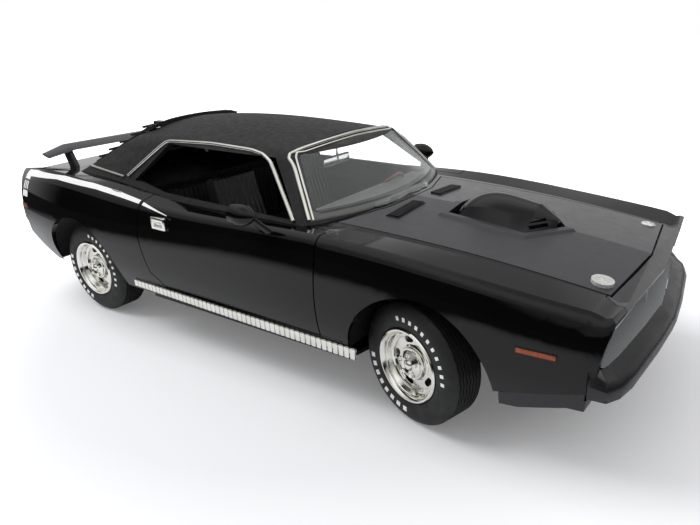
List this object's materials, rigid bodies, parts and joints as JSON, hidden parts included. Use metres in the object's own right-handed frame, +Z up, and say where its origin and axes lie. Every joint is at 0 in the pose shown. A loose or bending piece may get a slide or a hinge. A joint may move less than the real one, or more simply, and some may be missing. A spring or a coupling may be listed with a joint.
{
  "type": "1:18 scale model of a two-door hardtop muscle car",
  "caption": "Die-cast scale model of a two-door hardtop with opening doors, hood and boot lid, steering front wheels, a hood scoop through the hood, rear louvre and wing.",
  "frame": {"origin": "on the floor under the middle of the bounding box", "axes": "+X towards the nose, +Y towards the left side, +Z up"},
  "size_m": [0.2636, 0.1132, 0.0757],
  "materials": {
    "argent_paint": "satin",
    "bare_metal": "satin",
    "black_paint": "gloss",
    "black_plastic": "satin",
    "black_vinyl": "grained",
    "chrome_plating": "polished",
    "clear_glazing": "clear",
    "engine_paint": "gloss",
    "red_lens": "gloss",
    "satin_black": "satin",
    "tyre_rubber": "matte",
    "wood_rim": "satin"
  },
  "bodies": {
    "body": {"body_shell": "black_paint", "boot_floor": "satin_black", "chassis_pan": "satin_black", "dashboard": "black_plastic", "engine_block": "engine_paint", "exhaust": "bare_metal", "front_beam": "bare_metal", "front_bumper": "satin_black", "front_valance": "satin_black", "front_wheel_wells": "satin_black", "grille": "satin_black", "grille_surround": "argent_paint", "header_panel": "black_paint", "headlamps": "clear_glazing", "interior_tub": "black_plastic", "leaf_springs": "bare_metal", "package_shelf": "black_plastic", "rear_axle": "bare_metal", "rear_bench": "black_plastic", "rear_bumper": "satin_black", "rear_glass": "clear_glazing", "rear_louvre": "satin_black", "rear_wheel_wells": "satin_black", "roof_shell": "black_vinyl", "scoop": "satin_black", "seat_left": "black_plastic", "seat_right": "black_plastic", "side_markers": "red_lens", "sill_trims": "chrome_plating", "steering_wheel": "wood_rim", "tail_lamps": "red_lens", "tail_panel": "satin_black", "windscreen": "clear_glazing"},
    "door_left_assembly": {"door_left": "black_paint", "handle_left": "chrome_plating", "mirror_left": "black_paint"},
    "knuckle_left_assembly": {"knuckle_left": "bare_metal"},
    "wheel_front_left": {"rim_front_left": "chrome_plating", "tyre_front_left": "tyre_rubber"},
    "wheel_rear_left": {"rim_rear_left": "chrome_plating", "tyre_rear_left": "tyre_rubber"},
    "door_right_assembly": {"door_right": "black_paint", "handle_right": "chrome_plating", "mirror_right": "black_paint"},
    "knuckle_right_assembly": {"knuckle_right": "bare_metal"},
    "wheel_front_right": {"rim_front_right": "chrome_plating", "tyre_front_right": "tyre_rubber"},
    "wheel_rear_right": {"rim_rear_right": "chrome_plating", "tyre_rear_right": "tyre_rubber"},
    "hood_assembly": {"hood": "black_paint", "hood_pins": "chrome_plating", "hood_vents": "satin_black"},
    "boot_assembly": {"boot_lid": "black_paint", "rear_wing": "satin_black"},
    "tie_rod_assembly": {"tie_rod": "bare_metal"}
  },
  "joints": [
    {"name": "door_left_hinge", "type": "hinge", "parent": "body", "child": "door_left_assembly", "pos_m": [0.0414, 0.0502, 0.036], "axis": [0, 0, -1], "range_deg": [0, 65]},
    {"name": "door_right_hinge", "type": "hinge", "parent": "body", "child": "door_right_assembly", "pos_m": [0.0414, -0.0502, 0.036], "axis": [0, 0, 1], "range_deg": [0, 65]},
    {"name": "hood_hinge", "type": "hinge", "parent": "body", "child": "hood_assembly", "pos_m": [0.038, 0, 0.0525], "axis": [0, -1, 0], "range_deg": [0, 55]},
    {"name": "boot_hinge", "type": "hinge", "parent": "body", "child": "boot_assembly", "pos_m": [-0.1, 0, 0.0556], "axis": [0, 1, 0], "range_deg": [0, 60]},
    {"name": "steer_left", "type": "hinge", "parent": "body", "child": "knuckle_left_assembly", "pos_m": [0.075, 0.0332, 0.0184], "axis": [0, 0, 1], "range_deg": [-6, 38]},
    {"name": "spin_front_left", "type": "hinge", "parent": "knuckle_left_assembly", "child": "wheel_front_left", "pos_m": [0.07731, 0.04127, 0.0184], "axis": [0.2756, 0.9613, 0], "continuous": true},
    {"name": "steer_right", "type": "hinge", "parent": "body", "child": "knuckle_right_assembly", "pos_m": [0.075, -0.0332, 0.0184], "axis": [0, 0, 1], "range_deg": [-6, 38]},
    {"name": "spin_front_right", "type": "hinge", "parent": "knuckle_right_assembly", "child": "wheel_front_right", "pos_m": [0.07268, -0.04127, 0.0184], "axis": [0.2756, 0.9613, 0], "continuous": true},
    {"name": "spin_rear_left", "type": "hinge", "parent": "body", "child": "wheel_rear_left", "pos_m": [-0.0774, 0.0416, 0.0184], "axis": [0, 1, 0], "continuous": true},
    {"name": "spin_rear_right", "type": "hinge", "parent": "body", "child": "wheel_rear_right", "pos_m": [-0.0774, -0.0416, 0.0184], "axis": [0, 1, 0], "continuous": true},
    {"name": "tie_rod_slide", "type": "slide", "parent": "body", "child": "tie_rod_assembly", "axis": [0, -1, 0], "range_m": [-0.0012, 0.0062]}
  ],
  "couplings": [
    {"joint": "steer_right", "follows": "steer_left", "ratio": 1},
    {"joint": "tie_rod_slide", "follows": "steer_left", "m_per_rad": 0.0088}
  ]
}
